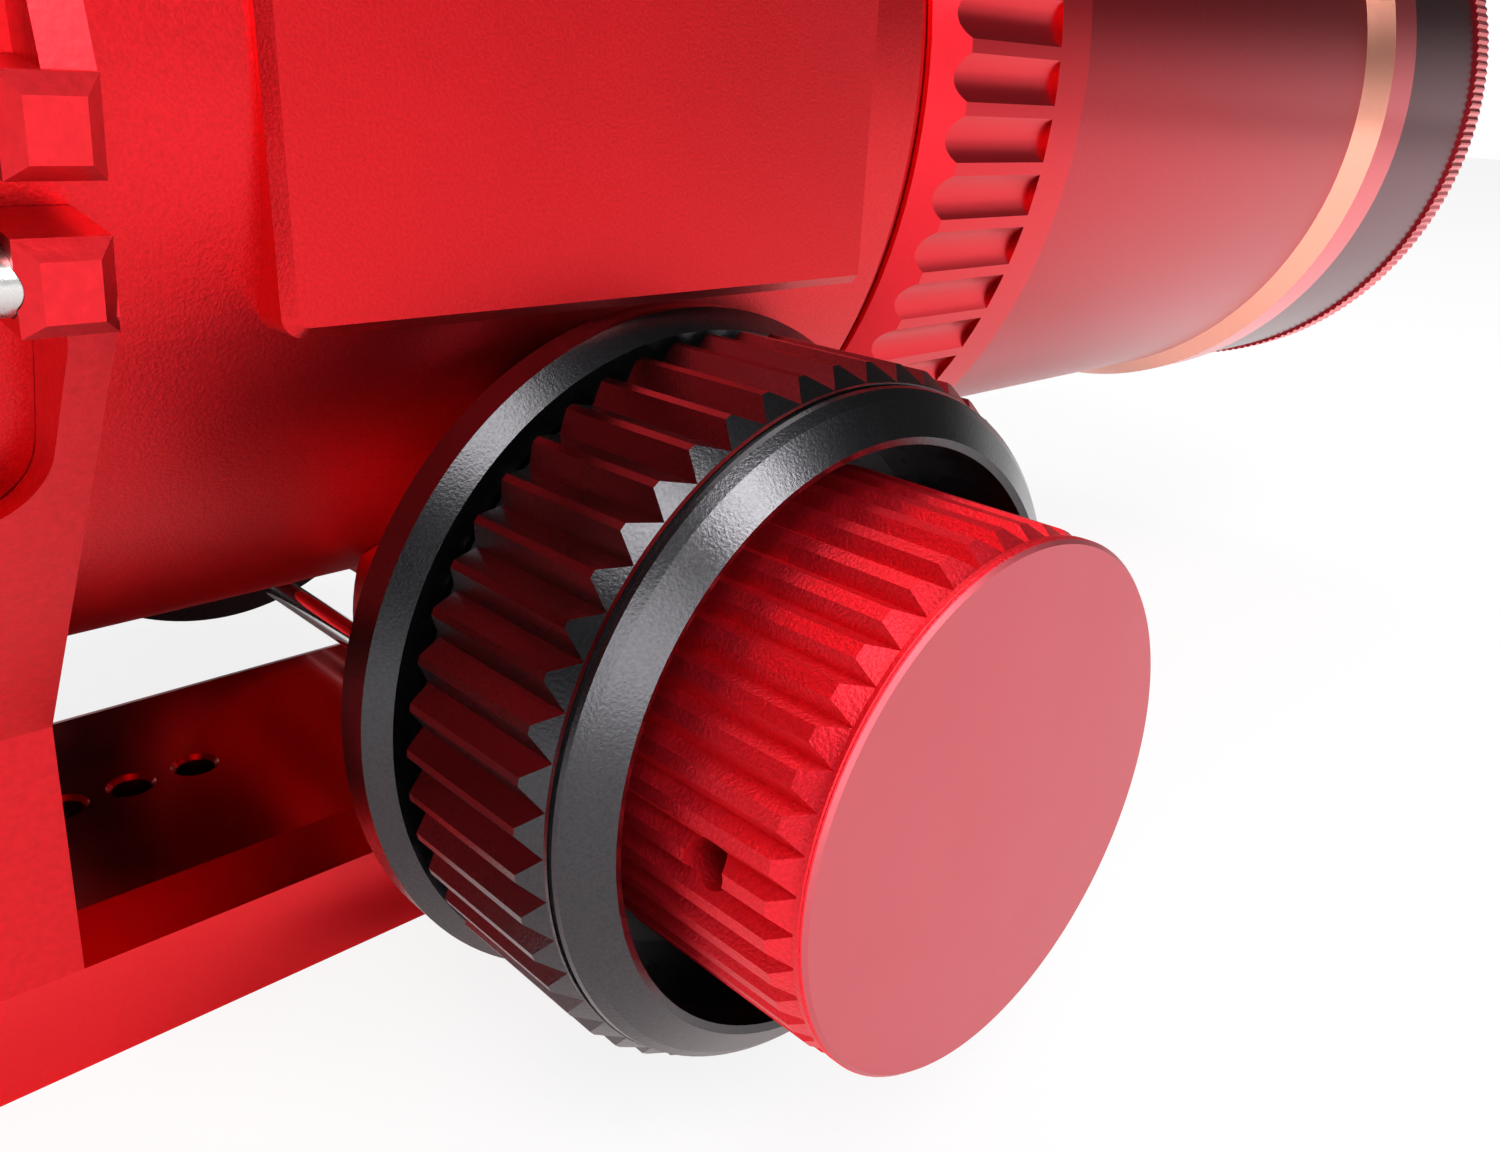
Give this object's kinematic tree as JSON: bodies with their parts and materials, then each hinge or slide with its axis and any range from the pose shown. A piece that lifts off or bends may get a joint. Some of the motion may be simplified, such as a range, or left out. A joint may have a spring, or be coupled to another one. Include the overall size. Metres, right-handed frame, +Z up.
{
  "type": "refractor telescope",
  "caption": "Compact internal-focus refractor: tube in a clamp ring on a dovetail bar, two-speed focus wheels, ribbed locking collar, sliding dew shield, front cap and camera rotator.",
  "frame": {"origin": "on the underside of the dovetail bar, in its middle plane, straight below the focus shaft", "axes": "+X the way the telescope looks, along the tube; -Y the side of the two-speed knob; +Z up"},
  "size_m": [0.2653, 0.1322, 0.1267],
  "materials": {
    "tube_red": "satin red anodised, fine bead-blasted grain",
    "ring_red": "satin red anodised casting",
    "bar_red": "semi-gloss red anodised",
    "collar_red": "satin red anodised, ribbed",
    "shield_red": "glossy satin red anodised, turned",
    "cap_red": "satin red anodised, finely knurled",
    "knob_red": "bead-blasted red anodised",
    "accent_gold": "polished gold anodised bevel",
    "wheel_black": "bead-blasted black anodised",
    "cap_black": "glossy black anodised, turned",
    "inner_black": "flat black anodised",
    "steel": "stainless steel",
    "polished_steel": "ground and polished steel",
    "screw_black": "black oxide steel",
    "brass": "plain turned brass",
    "lens_glass": "coated optical glass",
    "felt_black": "thin black felt",
    "plastic_black": "moulded black plastic"
  },
  "bodies": {
    "tube_assembly": {"dovetail_bar": "bar_red", "bar_screws": "steel", "ring_lower": "ring_red", "ring_upper": "ring_red", "swing_bolts": "steel", "far_clamp_screws": "steel", "accessory_rail": "ring_red", "rail_screws": "steel", "body_tube": "tube_red", "focus_housing": "tube_red", "near_flange": "wheel_black", "far_flange": "wheel_black", "near_flange_screws": "steel", "far_flange_screws": "steel", "tie_rod": "polished_steel", "near_bush": "brass", "far_bush": "brass", "ball_race": "steel", "objective_barrel": "inner_black", "barrel_baffle": "inner_black", "objective_cell": "inner_black", "objective_lens_front": "lens_glass", "objective_lens_rear": "lens_glass", "objective_spacer": "inner_black", "objective_retainer": "inner_black", "rear_cell": "tube_red"},
    "thumb_nut_front": {"thumb_nut_front": "steel"},
    "thumb_nut_rear": {"thumb_nut_rear": "steel"},
    "focus_carriage": {"focus_carriage": "inner_black", "focus_rack": "brass", "focus_lens_front": "lens_glass", "focus_lens_rear": "lens_glass", "focus_lens_washer": "inner_black", "focus_spacer": "inner_black", "focus_retainer": "inner_black"},
    "coarse_drive": {"coarse_shaft": "steel", "reducer_balls": "polished_steel", "coarse_wheel_near": "wheel_black", "coarse_wheel_far": "wheel_black", "wheel_screw": "steel"},
    "fine_drive": {"fine_shaft": "steel", "fine_knob": "knob_red", "knob_set_screw": "screw_black"},
    "lock_collar": {"lock_collar": "collar_red"},
    "dew_shield": {"dew_shield": "shield_red", "felt_ring": "felt_black", "accent_ring": "accent_gold", "shield_front_ring": "cap_red"},
    "front_cap": {"front_cap": "cap_black", "cap_rim": "cap_red"},
    "camera_rotator": {"rotator_ring": "wheel_black", "camera_adapter": "inner_black"},
    "rotator_lock": {"rotator_lock_screw": "knob_red"},
    "rear_cap": {"rear_cap": "plastic_black"}
  },
  "joints": [
    {"name": "focus_slide", "type": "slide", "parent": "tube_assembly", "child": "focus_carriage", "axis": [1, 0, 0], "range_m": [-0.005, 0.005]},
    {"name": "coarse_turn", "type": "hinge", "parent": "tube_assembly", "child": "coarse_drive", "pos_m": [0, 0, 0.03], "axis": [0, 1, 0], "range_deg": [-72, 72]},
    {"name": "fine_turn", "type": "hinge", "parent": "tube_assembly", "child": "fine_drive", "pos_m": [0, 0, 0.03], "axis": [0, 1, 0], "range_deg": [-720, 720]},
    {"name": "collar_turn", "type": "hinge", "parent": "tube_assembly", "child": "lock_collar", "pos_m": [0.035, 0, 0.0705], "axis": [1, 0, 0], "range_deg": [0, 40]},
    {"name": "dew_shield_slide", "type": "slide", "parent": "tube_assembly", "child": "dew_shield", "axis": [1, 0, 0], "range_m": [0, 0.04]},
    {"name": "front_cap_off", "type": "slide", "parent": "dew_shield", "child": "front_cap", "axis": [1, 0, 0], "range_m": [0, 0.03]},
    {"name": "rotator_turn", "type": "hinge", "parent": "tube_assembly", "child": "camera_rotator", "pos_m": [-0.095, 0, 0.0705], "axis": [1, 0, 0], "continuous": true},
    {"name": "rotator_lock_turn", "type": "hinge", "parent": "camera_rotator", "child": "rotator_lock", "pos_m": [-0.0943, 0, 0.112], "axis": [0, 0, 1], "range_deg": [0, 720]},
    {"name": "rear_cap_off", "type": "slide", "parent": "camera_rotator", "child": "rear_cap", "axis": [-1, 0, 0], "range_m": [0, 0.02]},
    {"name": "thumb_nut_front_turn", "type": "hinge", "parent": "tube_assembly", "child": "thumb_nut_front", "pos_m": [-0.04245, -0.04648, 0.06857], "axis": [0, -0.1582, 0.9874], "range_deg": [0, 720]},
    {"name": "thumb_nut_rear_turn", "type": "hinge", "parent": "tube_assembly", "child": "thumb_nut_rear", "pos_m": [-0.06035, -0.04648, 0.06857], "axis": [0, -0.1582, 0.9874], "range_deg": [0, 720]}
  ],
  "couplings": [
    {"joint": "coarse_turn", "follows": "focus_slide", "rad_per_m": 250},
    {"joint": "fine_turn", "follows": "focus_slide", "rad_per_m": 2500}
  ]
}
